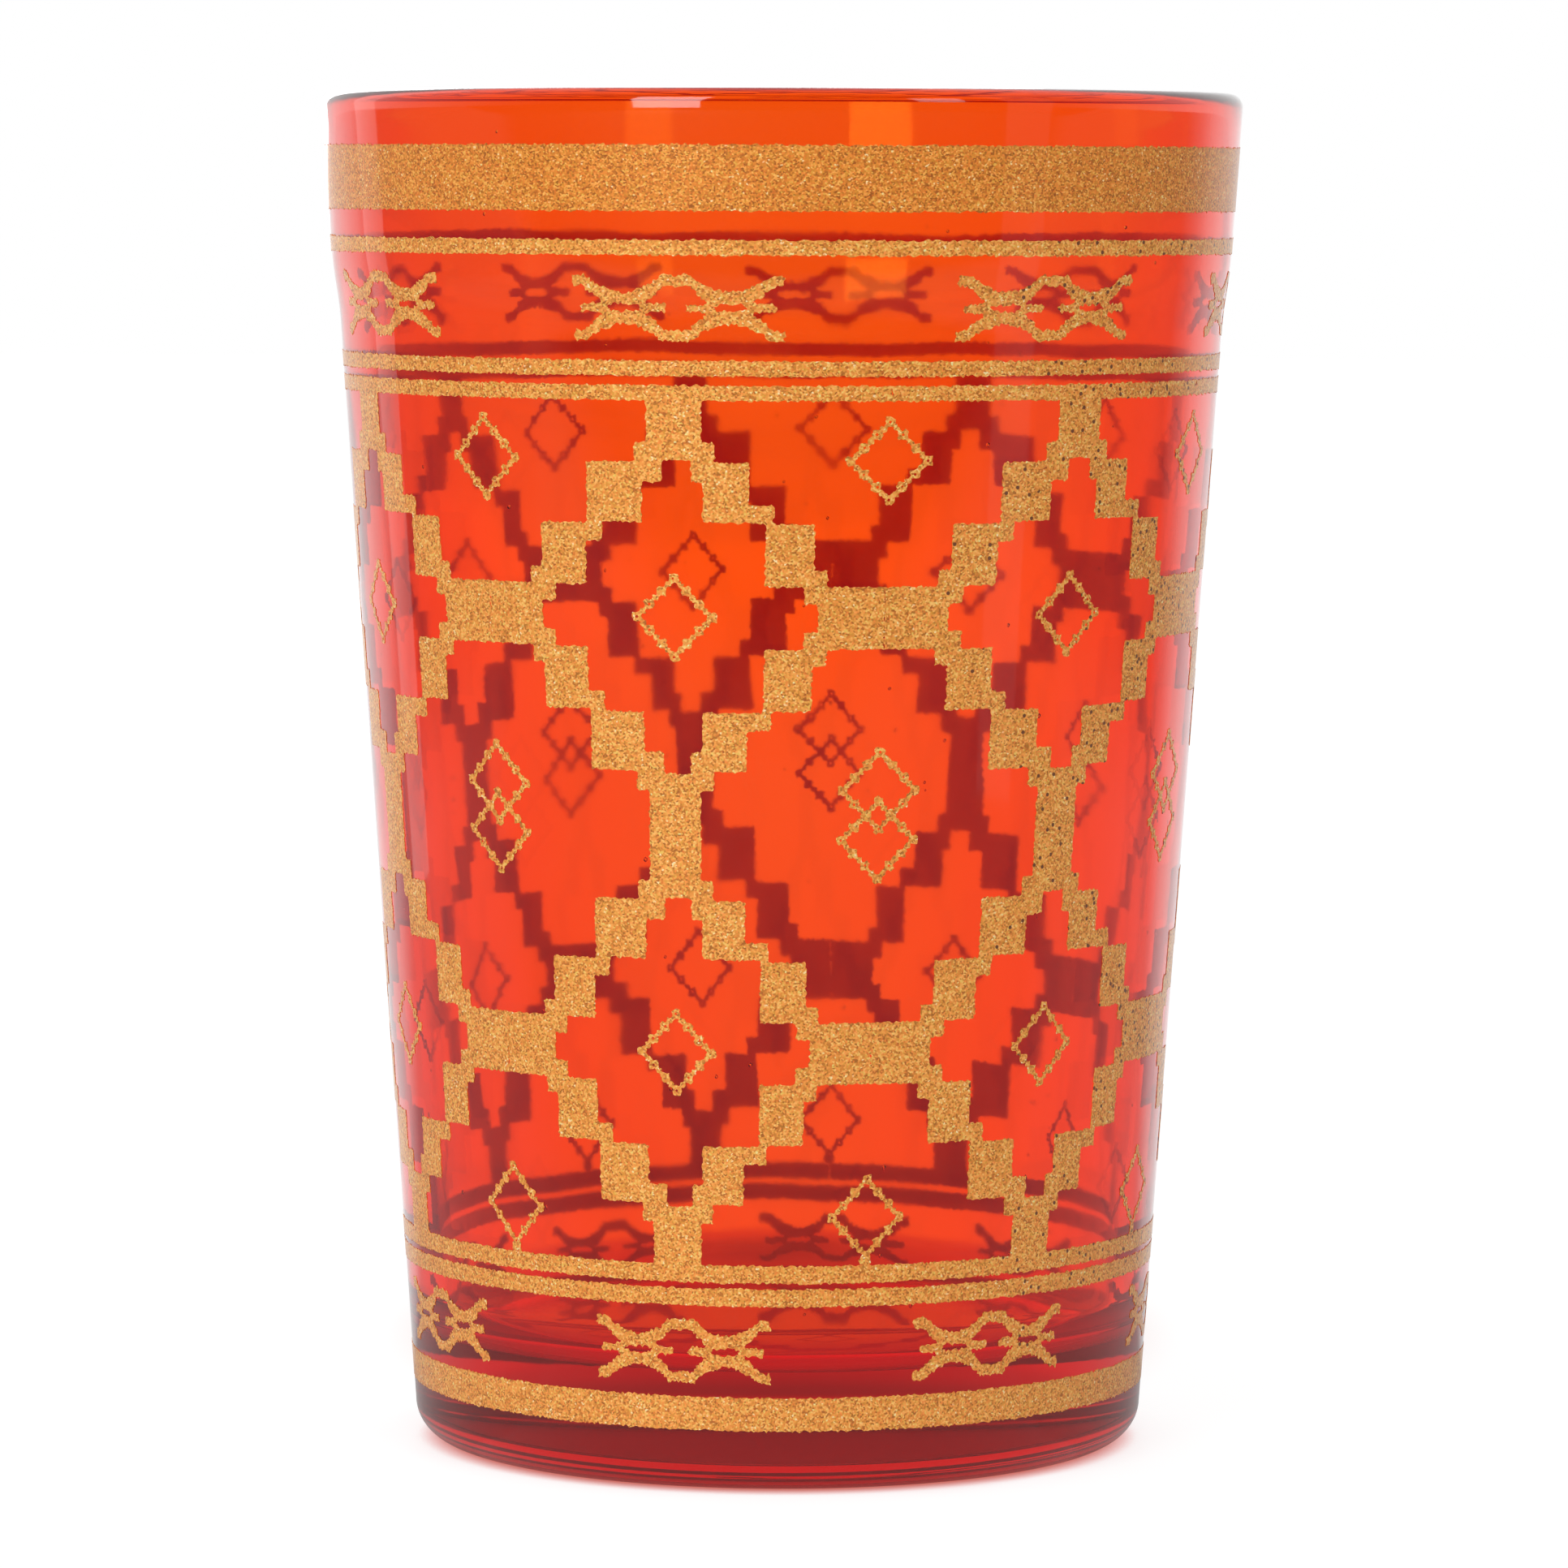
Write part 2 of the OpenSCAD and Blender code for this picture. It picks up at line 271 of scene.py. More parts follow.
def makeFlakeGroup():  # fired flakes of gold: each has a tone, a height and a hue
    group, given, result = newGroup("flakeGrain",
        {"Flake Size": 0.13, "Cloud Size": 1.2, "Cloud Share": 0.2}, ["Tone", "Height", "Hue"])
    link = group.links.new
    wall = unrolled(group, (-1800, 300))
    flakes = newNode(group, "ShaderNodeTexVoronoi", (-300, 300), feature="F1", voronoi_dimensions="2D")
    link(wall, flakes.inputs["Vector"])
    link(sizeScale(group, given.outputs["Flake Size"], (-600, 200)), flakes.inputs["Scale"])
    clouds = newNode(group, "ShaderNodeTexNoise", (-300, -100))
    setInputs(clouds, {"Detail": 3})
    link(wall, clouds.inputs["Vector"])
    link(sizeScale(group, given.outputs["Cloud Size"], (-600, -100)), clouds.inputs["Scale"])
    parts = newNode(group, "ShaderNodeSeparateColor", (-60, 300))
    link(flakes.outputs["Color"], parts.inputs["Color"])
    cloudy = mathNode(group, "SUBTRACT", (clouds.outputs["Fac"], 0.5), (-60, -100))
    cloudy = mathNode(group, "MULTIPLY", (cloudy, given.outputs["Cloud Share"]), (140, -100))
    tone = mathNode(group, "ADD", (parts.outputs["Red"], cloudy), (340, 200), True)
    link(tone, result.inputs["Tone"])
    link(parts.outputs["Green"], result.inputs["Height"])
    link(parts.outputs["Blue"], result.inputs["Hue"])
    return group


def makePitGroup():  # pinholes burnt through the gold, closer together on one side of the glass
    group, given, result = newGroup("pinholes",
        {"Spacing": 0.62, "Hole Share": 0.2, "Plenty": 0.3}, ["Mask"])
    link = group.links.new
    holes = newNode(group, "ShaderNodeTexVoronoi", (-300, 200), feature="F1", voronoi_dimensions="2D")
    link(unrolled(group, (-1800, 300)), holes.inputs["Vector"])
    link(sizeScale(group, given.outputs["Spacing"], (-600, 200)), holes.inputs["Scale"])
    near = mathNode(group, "LESS_THAN", (holes.outputs["Distance"], given.outputs["Hole Share"]), (0, 200))
    parts = newNode(group, "ShaderNodeSeparateColor", (0, 0))
    link(holes.outputs["Color"], parts.inputs["Color"])
    coords = newNode(group, "ShaderNodeTexCoord", (-900, -200))
    place = newNode(group, "ShaderNodeSeparateXYZ", (-600, -200))
    link(coords.outputs["Object"], place.inputs["Vector"])
    low, high = goldLook["pitSide"]
    side = mapRange(group, place.outputs["X"], (low * mm, high * mm, 0, 1), (-300, -200))
    chance = mathNode(group, "MULTIPLY", (side, given.outputs["Plenty"]), (0, -200))
    chosen = mathNode(group, "LESS_THAN", (parts.outputs["Blue"], chance), (240, 0))
    link(mathNode(group, "MULTIPLY", (near, chosen), (480, 100)), result.inputs["Mask"])
    return group


def makeMarkGroup():  # handling marks, fine unevenness, and the matt ground foot
    group, given, result = newGroup("glassMarks",
        {"Mark Size": 6.0, "Grain Size": 0.5, "Ground Radius": 0.0}, ["Marks", "Height", "Ground"])
    link = group.links.new
    coords = newNode(group, "ShaderNodeTexCoord", (-900, 300)).outputs["Object"]
    for size, detail, output, y in (("Mark Size", 4, "Marks", 300), ("Grain Size", 2, "Height", 0)):
        spots = newNode(group, "ShaderNodeTexNoise", (-300, y))
        setInputs(spots, {"Detail": detail})
        link(coords, spots.inputs["Vector"])
        link(sizeScale(group, given.outputs[size], (-600, y)), spots.inputs["Scale"])
        link(spots.outputs["Fac"], result.inputs[output])
    place = newNode(group, "ShaderNodeSeparateXYZ", (-600, -300))
    link(coords, place.inputs["Vector"])
    low = mathNode(group, "LESS_THAN", (place.outputs["Z"], glassLook["groundZ"] * mm), (-60, -300))
    squares = [mathNode(group, "MULTIPLY", (place.outputs[axis], place.outputs[axis]), (-400, y))
        for axis, y in (("X", -450), ("Y", -600))]
    away = mathNode(group, "SQRT", (mathNode(group, "ADD", squares, (-240, -500)),), (-60, -500))
    reach = mathNode(group, "MULTIPLY", (given.outputs["Ground Radius"], mm), (-60, -700))
    near = mathNode(group, "LESS_THAN", (away, reach), (140, -500))
    link(mathNode(group, "MULTIPLY", (low, near), (340, -300)), result.inputs["Ground"])
    return group


flakeGroup, pitGroup, markGroup = makeFlakeGroup(), makePitGroup(), makeMarkGroup()


def newMaterial(name):
    material = bpy.data.materials.new(name)
    material.use_nodes = True
    tree = material.node_tree
    tree.nodes.clear()
    return material, tree, newNode(tree, "ShaderNodeOutputMaterial", (900, 0))


def addBump(tree, height, strength, distance, shader, place):
    bump = newNode(tree, "ShaderNodeBump", place)
    setInputs(bump, {"Strength": strength, "Distance": distance * mm})
    tree.links.new(height, bump.inputs["Height"])
    tree.links.new(bump.outputs["Normal"], shader.inputs["Normal"])


def goldMaterial(name, tones, flakeSize, pitPlenty):
    look = goldLook
    material, tree, out = newMaterial(name)
    link = tree.links.new
    flakes = placeGroup(tree, flakeGroup, (-700, 200), {"Flake Size": flakeSize})
    pits = placeGroup(tree, pitGroup, (-700, -200), {"Plenty": pitPlenty})
    color = ramp(tree, flakes.outputs["Tone"], tones, (-400, 300))
    hue = ramp(tree, flakes.outputs["Hue"], look["flakeHues"], (-500, 600))
    varied = mixed(tree, 1, color, hue, (-250, 500), blend="MULTIPLY")
    pitted = mixed(tree, pits.outputs["Mask"], varied, (*look["pitColor"], 1), (-100, 300))
    shader = newNode(tree, "ShaderNodeBsdfPrincipled", (500, 100))
    link(pitted, shader.inputs["Base Color"])
    rough = (flakes.outputs["Height"], look["roughSpan"], look["roughness"])
    link(mathNode(tree, "MULTIPLY_ADD", rough, (-100, 0)), shader.inputs["Roughness"])
    setInputs(shader, {"Metallic": look["metallic"], "Specular IOR Level": look["specular"],
        "Coat Weight": look["coat"], "Coat Roughness": look["coatRoughness"]})
    addBump(tree, flakes.outputs["Height"], look["bump"], look["bumpHeight"], shader, (200, -200))
    link(shader.outputs["BSDF"], out.inputs["Surface"])
    return material


def undersideMaterial():  # the gold's smooth face against the glass, which shows through the far wall
    material, tree, out = newMaterial("goldUnderside")
    marks = placeGroup(tree, markGroup, (-700, 0), {"Mark Size": goldLook["underMarks"]})
    shader = newNode(tree, "ShaderNodeBsdfPrincipled", (300, 100))
    color = ramp(tree, marks.outputs["Marks"], goldLook["underTones"], (-300, 100))
    tree.links.new(color, shader.inputs["Base Color"])
    setInputs(shader, {"Roughness": goldLook["underRoughness"]})
    tree.links.new(shader.outputs["BSDF"], out.inputs["Surface"])
    return material


def glassMaterial():
    look = glassLook
    material, tree, out = newMaterial("orangeGlass")
    link = tree.links.new
    marks = placeGroup(tree, markGroup, (-700, 0), {"Ground Radius": look["groundR"]})
    shader = newNode(tree, "ShaderNodeBsdfPrincipled", (300, 100))
    setInputs(shader, {"Base Color": (1, 1, 1, 1), "IOR": look["ior"], "Transmission Weight": 1})
    rough = mapRange(tree, marks.outputs["Marks"], look["markSpan"], (-300, 100))
    ground = mathNode(tree, "MULTIPLY", (marks.outputs["Ground"], look["groundRough"]), (-300, -150))
    link(mathNode(tree, "MAXIMUM", (rough, ground), (-60, 60)), shader.inputs["Roughness"])
    addBump(tree, marks.outputs["Height"], look["bump"], look["bumpHeight"], shader, (0, -200))
    # the polished outside takes more of the room's white at its edges
    side = newNode(tree, "ShaderNodeNewGeometry", (-300, 400))
    outside = mathNode(tree, "SUBTRACT", (1, side.outputs["Backfacing"]), (-100, 400))
    link(mathNode(tree, "MULTIPLY", (outside, look["polish"]), (80, 400)), shader.inputs["Coat Weight"])
    absorption = newNode(tree, "ShaderNodeVolumeAbsorption", (300, -500))
    setInputs(absorption, {"Color": (*look["tint"], 1), "Density": look["density"]})
    link(shader.outputs["BSDF"], out.inputs["Surface"])
    link(absorption.outputs["Volume"], out.inputs["Volume"])
    return material


gold = {name: goldMaterial(name, *finish) for name, finish in goldFinishes.items()}
goldUnderside = undersideMaterial()
orangeGlass = glassMaterial()
print("materials made")


# the glass, turned from one half section

def arcPoints(middle, r, start, end, steps):
    angles = np.radians(np.linspace(start, end, steps + 1))
    return np.stack([middle[0] + r * np.cos(angles), middle[1] + r * np.sin(angles)], axis=1)


def boreR(z):  # the wall thins evenly from the floor to the rim, with a slight bead under the lip
    g = glassForm
    share = (z - g["floorZ"]) / (glassH - g["floorZ"])
    bead = g["lipBead"] * np.exp(-((z - glassH + g["beadDrop"]) / g["beadHeight"]) ** 2)
    return wallR(z) - g["floorWall"] - (g["rimWall"] - g["floorWall"]) * share - bead


def glassSection():  # from under the foot over the rim, and from there down the bore
    g = glassForm
    heelIn = wallR(g["heelRound"]) - g["heelRound"]
    hollowR = heelIn - g["footWidth"]
    share = np.linspace(0, 1, g["roundSteps"] + 1)[1:]
    hollow = np.stack([share * hollowR, g["hollowDepth"] * (1 - share ** 2)], axis=1)
    heel = arcPoints((heelIn, g["heelRound"]), g["heelRound"], -90, 0, g["roundSteps"])
    outR, inR = g["lipRound"], g["rimWall"] - g["lipRound"]
    wallZ = np.linspace(g["heelRound"], glassH - outR, g["wallSteps"] + 1)[1:-1]
    wall = np.stack([wallR(wallZ), wallZ], axis=1)
    crest = wallR(glassH - outR) - outR
    rim = np.concatenate([arcPoints((crest, glassH - outR), outR, 0, 90, g["roundSteps"]),
        arcPoints((crest, glassH - inR), inR, 90, 180, g["roundSteps"])[1:]])
    cornerZ = g["floorZ"] + g["floorRound"]
    boreZ = np.linspace(glassH - inR, cornerZ, g["wallSteps"] + 1)[1:-1]
    bore = np.stack([boreR(boreZ), boreZ], axis=1)
    floorR = boreR(cornerZ) - g["floorRound"]
    corner = arcPoints((floorR, cornerZ), g["floorRound"], 0, -90, g["roundSteps"])
    inner = np.linspace(1, 0, g["roundSteps"] + 1)[1:-1]
    floor = np.stack([inner * floorR, np.full(len(inner), g["floorZ"])], axis=1)
    return np.concatenate([hollow, heel, wall, rim]), np.concatenate([bore, corner, floor])


def seedBubbles(first):  # closed bubbles inside the wall, facing inwards
    g = glassForm
    rng = np.random.default_rng(draws["seeds"])
    ball = bmesh.new()
    bmesh.ops.create_icosphere(ball, subdivisions=1, radius=1)
    unit = np.array([tuple(v.co) for v in ball.verts])
    unitFaces = [[v.index for v in f.verts] for f in ball.faces]
    ball.free()
    low, high = g["floorZ"] + g["seedClear"][0], glassH - g["seedClear"][1]
    points, faces = [], []
    for _ in range(g["seeds"]):
        z, a = rng.uniform(low, high), rng.uniform(0, 2 * math.pi)
        r = boreR(z) + (wallR(z) - boreR(z)) * rng.uniform(*g["seedDepth"])
        size = rng.uniform(*g["seedR"]) * np.array([1, 1, rng.uniform(*g["seedStretch"])])
        at = first + len(points)
        points.extend((unit * size + (r * math.sin(a), -r * math.cos(a), z)).tolist())
        faces.extend([at + i for i in reversed(face)] for face in unitFaces)
    return points, faces


def boreWave(x, y, z, r):  # how far the bore waves out at a point
    g = glassForm
    at = Vector((x * r, y * r, z * g["waveStretch"])) / g["waveSize"]
    wave = noise.noise(at) + g["rippleShare"] * noise.noise(at * g["rippleScale"])
    return g["waveDepth"] * wave * min(1, r / g["calmR"])


def makeGlass():
    outside, inside = glassSection()
    section = np.concatenate([outside, inside])
    turns = glassForm["turns"]
    angles = np.linspace(0, 2 * math.pi, turns, endpoint=False)
    points = [(0, 0, glassForm["hollowDepth"])]
    for k, (r, z) in enumerate(section):
        for a in angles:
            x, y = math.sin(a), -math.cos(a)
            out = boreWave(x, y, z, r) if k >= len(outside) else 0
            points.append((x * (r + out), y * (r + out), z))
    points.append((0, 0, glassForm["floorZ"]))
    last = len(points) - 1
    faces = []
    for t in range(turns):
        n = (t + 1) % turns
        faces.append((0, 1 + n, 1 + t))
        for k in range(len(section) - 1):
            low, high = 1 + k * turns, 1 + (k + 1) * turns
            faces.append((low + t, low + n, high + n, high + t))
        top = 1 + (len(section) - 1) * turns
        faces.append((top + t, top + n, last))
    seedPoints, seedFaces = seedBubbles(len(points))
    glass = meshObject("glass", points + seedPoints, faces + seedFaces, orangeGlass, glassForm["sharpAngle"])
    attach(glass, "root")
    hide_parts("glass_body")


makeGlass()
print("glass turned")


# the gold, drawn flat as arc length and height, then laid on the wall

goldForm = {
    "lift": 0.03,  # how far the gold stands off the wall
    "seat": 0.006,  # how close to the wall its underside lies
    "step": 0.15,  # length of one bite of a ragged edge
    "fray": 0.045,  # depth of the bites
    "ringBite": 0.1,  # deepest bite in a ring's edge
    "pitR": 0.085,  # pinholes in the beads of the diamonds
    "pitSizes": (0.8, 1.2),
    "pitShift": 0.03,
    "pitTurn": 60,
    "pitShare": 0.6,
    "softening": 1,  # times that corners are rounded
    "gridStep": 0.9,
    "ringSteps": 1100,
}
samePlace, noArea, weldDigits = 1e-6, 1e-9, 4


def frayed(loop, rng, held=(), fray=goldForm["fray"]):  # points on the held lines stay
    points = []
    for a, b in zip(loop, np.roll(loop, -1, axis=0)):
        n = max(1, round(float(np.linalg.norm(b - a)) / goldForm["step"]))
        points.extend(a + (b - a) * np.arange(n)[:, None] / n)
    points = np.array(points)
    free = np.array([all(abs(p[0] - h) > samePlace for h in held) for p in points])[:, None]
    for _ in range(goldForm["softening"]):
        soft = (np.roll(points, 1, 0) + 2 * points + np.roll(points, -1, 0)) / 4
        points = np.where(free, soft, points)
    along = np.roll(points, -1, 0) - np.roll(points, 1, 0)
    normal = np.stack([along[:, 1], -along[:, 0]], axis=1)
    normal /= np.maximum(np.linalg.norm(along, axis=1, keepdims=True), noArea)
    bite = np.clip(rng.normal(0, fray, len(points)), -2 * fray, 2 * fray)
    return points + np.where(free, normal * bite[:, None], 0)


def within(points, loop):
    inside = np.zeros(len(points), bool)
    x, y = points[:, 0], points[:, 1]
    for (x1, y1), (x2, y2) in zip(loop, np.roll(loop, -1, axis=0)):
        if y1 != y2:
            inside ^= ((y1 > y) != (y2 > y)) & (x < (x2 - x1) * (y - y1) / (y2 - y1) + x1)
    return inside


def inShapes(points, shapes):
    found = np.zeros(len(points), bool)
    for outline, holes in shapes:
        here = within(points, outline)
        for hole in holes:
            here &= ~within(points, hole)
        found |= here
    return found


def fillFlat(shapes):  # triangles over the union of outlines with holes
    loops = [loop for outline, holes in shapes for loop in (outline, *holes)]
    points, edges = [], []
    for loop in loops:
        first = len(points)
        points.extend(loop.tolist())
        edges.extend((first + i, first + (i + 1) % len(loop)) for i in range(len(loop)))
    low, high = np.min(points, axis=0), np.max(points, axis=0)
    step = goldForm["gridStep"]
    grid = np.stack(np.meshgrid(np.arange(low[0] + step / 2, high[0], step),
        np.arange(low[1] + step / 2, high[1], step)), axis=-1).reshape(-1, 2)
    if len(grid):
        points.extend(grid[inShapes(grid, shapes)].tolist())
    made = delaunay_2d_cdt([Vector(p) for p in points], edges, [], 0, samePlace)
    flat = np.array([tuple(p) for p in made[0]])
    triangles = np.array(made[2])
    a, b, c = (flat[triangles[:, k]] for k in range(3))
    area = (b[:, 0] - a[:, 0]) * (c[:, 1] - a[:, 1]) - (b[:, 1] - a[:, 1]) * (c[:, 0] - a[:, 0])
    keep = inShapes(flat[triangles].mean(axis=1), shapes) & (abs(area) > noArea)
    triangles[area < 0] = triangles[area < 0][:, ::-1]
    return flat, triangles[keep]


def ringFlat(low, high, rng):
    n, bite = goldForm["ringSteps"], goldForm["ringBite"]
    rows = max(2, round((high - low) / goldForm["gridStep"]) + 1)
    edges = [z + np.clip(rng.normal(0, goldForm["fray"], n), -bite, bite) for z in (low, high)]
    share = np.linspace(0, 1, rows)
    z = edges[0] + share[:, None] * (edges[1] - edges[0])
    z = np.concatenate([z, z[:, :1]], axis=1)
    s = np.linspace(-180, 180, n + 1) * degree
    flat = np.stack([np.broadcast_to(s, z.shape), z], axis=-1).reshape(-1, 2)
    first = (np.arange(rows - 1)[:, None] * (n + 1) + np.arange(n)).reshape(-1)
    return flat, np.concatenate([np.stack([first, first + 1, first + n + 2], axis=1),
        np.stack([first, first + n + 2, first + n + 1], axis=1)])


def layGold(name, node, patches, material):  # a closed shell on the wall, welded where patches meet
    flat = np.concatenate([p[0] for p in patches])
    offsets = np.cumsum([0] + [len(p[0]) for p in patches[:-1]])
    triangles = np.concatenate([p[1] + o for p, o in zip(patches, offsets)])
    angle, z = flat[:, 0] / degree, flat[:, 1]
    outer = onWall(angle, z, goldForm["lift"])
    rounded = np.round(outer, weldDigits)
    _, kept, same = np.unique(rounded, axis=0, return_index=True, return_inverse=True)
    outer, inner = outer[kept], onWall(angle, z, goldForm["seat"])[kept]
    triangles = same.reshape(-1)[triangles]
    count = len(outer)
    sides = np.concatenate([triangles[:, [0, 1]], triangles[:, [1, 2]], triangles[:, [2, 0]]])
    known = set(map(tuple, sides.tolist()))
    rim = [(a, b) for a, b in known if (b, a) not in known]
    faces = triangles.tolist() + (triangles[:, ::-1] + count).tolist()
    faces += [(b, a, a + count, b + count) for a, b in sorted(rim)]
    obj = meshObject(name, np.concatenate([outer, inner]), faces, material)
    obj.data.materials.append(goldUnderside)
    under = [min(p.vertices) >= count for p in obj.data.polygons]
    obj.data.polygons.foreach_set("material_index", np.array(under, np.int32))
    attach(obj, "root")
    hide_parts(node)


# rings

ringPieces = {
    "rimBand": ("rim_band", "bandGold"),
    "upperPinstripe": ("upper_pinstripe", "firedGold"),
    "upperBorderLine": ("upper_border_line", "firedGold"),
    "lowerBorderLine": ("lower_border_line", "firedGold"),
    "footBand": ("foot_band", "footGold"),
}
for start, (name, (node, finish)) in enumerate(ringPieces.items(), draws["rings"]):
    rng = np.random.default_rng(start)
    layGold(name, node, [ringFlat(*heights(node), rng)], gold[finish])
print("rings laid")


# the stepped lattice

latticeForm = {
    "frontColumn": -14.1,
    "pitch": 54.8,
    "columns": 7,
    "firstColumn": -2,  # the first one drawn, counted from the front
    "closing": 2,  # narrower cells behind, where the print closes
    "lean": 1.2,  # turn of the print from the lattice's foot to its top
    "reach": 18.7,  # half angle of a small cell
    "rowShares": (0.2484, 0.7522),
    "riseShare": 0.18,
    "upperRing": 0.96,
    "lowerRing": 1.13,
}
# how far a column reaches beside a large cell, from its bar up: height and reach shares of a small cell
rightFlank = [(0.2, 1.06), (0.305, 0.965), (0.595, 0.685), (0.72, 0.515), (0.985, 0.28), (1.11, 0.19)]
leftFlank = [(0.2, 1.09), (0.305, 0.995), (0.595, 0.63), (0.985, 0.28), (1.11, 0.19)]
# a small cell from its middle up
rightCell = [(0.09, 1), (0.2, 0.9), (0.605, 0.63), (0.86, 0.2), (1, 0.12)]
leftCell = [(0.09, 1), (0.2, 0.895), (0.48, 0.645), (0.605, 0.52), (0.86, 0.225), (1, 0.08)]

latticeLow, latticeHigh = heights("lattice")
fieldLow = latticeLow + latticeForm["lowerRing"]
fieldHigh = latticeHigh - latticeForm["upperRing"]
fieldH = fieldHigh - fieldLow
rowZ = [fieldLow + s * fieldH for s in latticeForm["rowShares"]]
cellRise = latticeForm["riseShare"] * fieldH


def printAngle(i, first, count, pitch, closing):  # even steps, then narrower ones up to a full turn
    even = count - closing
    shut = (360 - even * pitch) / closing
    return first + min(i, even) * pitch + max(0, i - even) * shut


def columnAt(i):
    f = latticeForm
    first = f["frontColumn"] + f["firstColumn"] * f["pitch"]
    return printAngle(i, first, f["columns"], f["pitch"], f["closing"])


columns = [columnAt(i) for i in range(latticeForm["columns"] + 1)]
middles = [(a + b) / 2 for a, b in zip(columns, columns[1:])]
middles.insert(0, middles[-1] - 360)


def leaned(points):  # flat points from angles and heights, with the print's lean
    points = np.array(points, float)
    points[:, 0] += latticeForm["lean"] * ((points[:, 1] - fieldLow) / fieldH - 0.5)
    points[:, 0] *= degree
    return points


def climb(table, reach, bar, up):  # corners of the steps from a bar to the stem
    points = []
    for k, (height, share) in enumerate(table):
        z = bar + up * height * cellRise
        if k:
            points.append((table[k - 1][1] * reach, z))
        points.append((share * reach, z))
    return points


def columnSide(table, reach, edge):  # from the lower ring to the upper one, beside a column
    points = []
    for bar in rowZ:
        points += climb(table, reach, bar, -1)[::-1] + [(edge, bar - table[0][0] * cellRise)]
        points += [(edge, bar + table[0][0] * cellRise)] + climb(table, reach, bar, 1)
    stem = table[-1][1] * reach
    return [(edge, latticeLow), (edge, fieldLow), (stem, fieldLow), *points, (stem, fieldHigh),
        (edge, fieldHigh), (edge, latticeHigh)]


def cellSide(table, reach, bar, up):
    points = []
    for k, (height, share) in enumerate(table):
        if k:
            points.append((share * reach, bar + up * table[k - 1][0] * cellRise))
        points.append((share * reach, bar + up * height * cellRise))
    return points


def cellLoop(bar, right, left):
    return (cellSide(rightCell, right, bar, 1) + cellSide(leftCell, left, bar, 1)[::-1]
        + cellSide(leftCell, left, bar, -1) + cellSide(rightCell, right, bar, -1)[::-1])


def reachInto(cell):  # a column reaches into a narrower cell in proportion
    width = 2 * (middles[cell + 1] - columns[cell])
    return latticeForm["reach"] * width / latticeForm["pitch"]


def latticePanel(i, rng):  # one column, out to the middles of the large cells beside it
    left, right = middles[i] - columns[i], middles[i + 1] - columns[i]
    reachR, reachL = reachInto(i), -reachInto((i - 1) % latticeForm["columns"])
    outline = columnSide(rightFlank, reachR, right) + columnSide(leftFlank, reachL, left)[::-1]
    turned = lambda loop: leaned([(a + columns[i], z) for a, z in loop])
    drawn = turned(outline)
    seams = [p[0] for p, (a, z) in zip(drawn, outline) if a in (left, right)]
    holes = [frayed(turned(cellLoop(bar, reachR, reachL)), rng) for bar in rowZ]
    return fillFlat([(frayed(drawn, rng, seams), holes)])


latticeRng = np.random.default_rng(draws["lattice"])
panels = [latticePanel(i, latticeRng) for i in range(latticeForm["columns"])]
layGold("steppedLattice", "lattice", panels, gold["firedGold"])
print("lattice laid")


# beaded diamonds

diamondForm = {
    "reach": 5.0,
    "rise": 2.45,
    "bead": 0.6,
    "link": 0.36,
    "sideSteps": 6,
    "stub": 0.78,  # width of the foot under a base diamond
    "twinShare": 0.64,  # how far apart a pair stands, as a share of the rise
}


def allRound(quarter):
    q = np.array(quarter, float)
    back = q[::-1]
    return np.concatenate([q, back * (-1, 1), -q, back * (1, -1)])


def diamondLoops():
    f, n = diamondForm, diamondForm["sideSteps"]
    w = f["reach"] * degree
    half = [(f["bead"] if k % 2 == 0 else f["link"]) / 2 for k in range(n + 1)]
    x = [w * (1 - k / n) for k in range(n + 1)]
    y = [f["rise"] * k / n for k in range(n + 1)]
    outer, inner = [], []
    for k in range(n + 1):
        outer += [(x[k] + half[k], y[up] + half[up]) for up in ((k - 1, k) if k else (0,))]
        if k < n:
            inner += [(x[k] - half[k], y[up] - half[up]) for up in ((k, k + 1) if k else (1,))]
    return allRound(outer), allRound(inner)


def diamondShape(angle, z, rng):
    at = leaned([(angle, z)])[0]
    outer, inner = diamondLoops()
    f, g, n = diamondForm, goldForm, diamondForm["sideSteps"]
    beads = []
    for k in range(0, n + 1, 2):
        across, up = f["reach"] * degree * (1 - k / n), f["rise"] * k / n
        beads += [(x * across, y * up) for x in ((1, -1) if k < n else (1,))
            for y in ((1, -1) if k else (1,))]
    turns = np.radians(np.arange(0, 360, g["pitTurn"]))
    ring = np.stack([np.cos(turns), np.sin(turns)], axis=1)
    pits = [ring * g["pitR"] * rng.uniform(*g["pitSizes"]) + rng.normal(0, g["pitShift"], 2) + bead + at
        for bead in beads if rng.random() < g["pitShare"]]
    return frayed(outer + at, rng), [frayed(inner + at, rng), *pits]


def stubShape(angle, z, rng):
    at = leaned([(angle, z)])[0]
    w, low, high = diamondForm["stub"] / 2, fieldLow - z, -diamondForm["rise"]
    return frayed(np.array([(-w, low), (w, low), (w, high), (-w, high)]) + at, rng), []


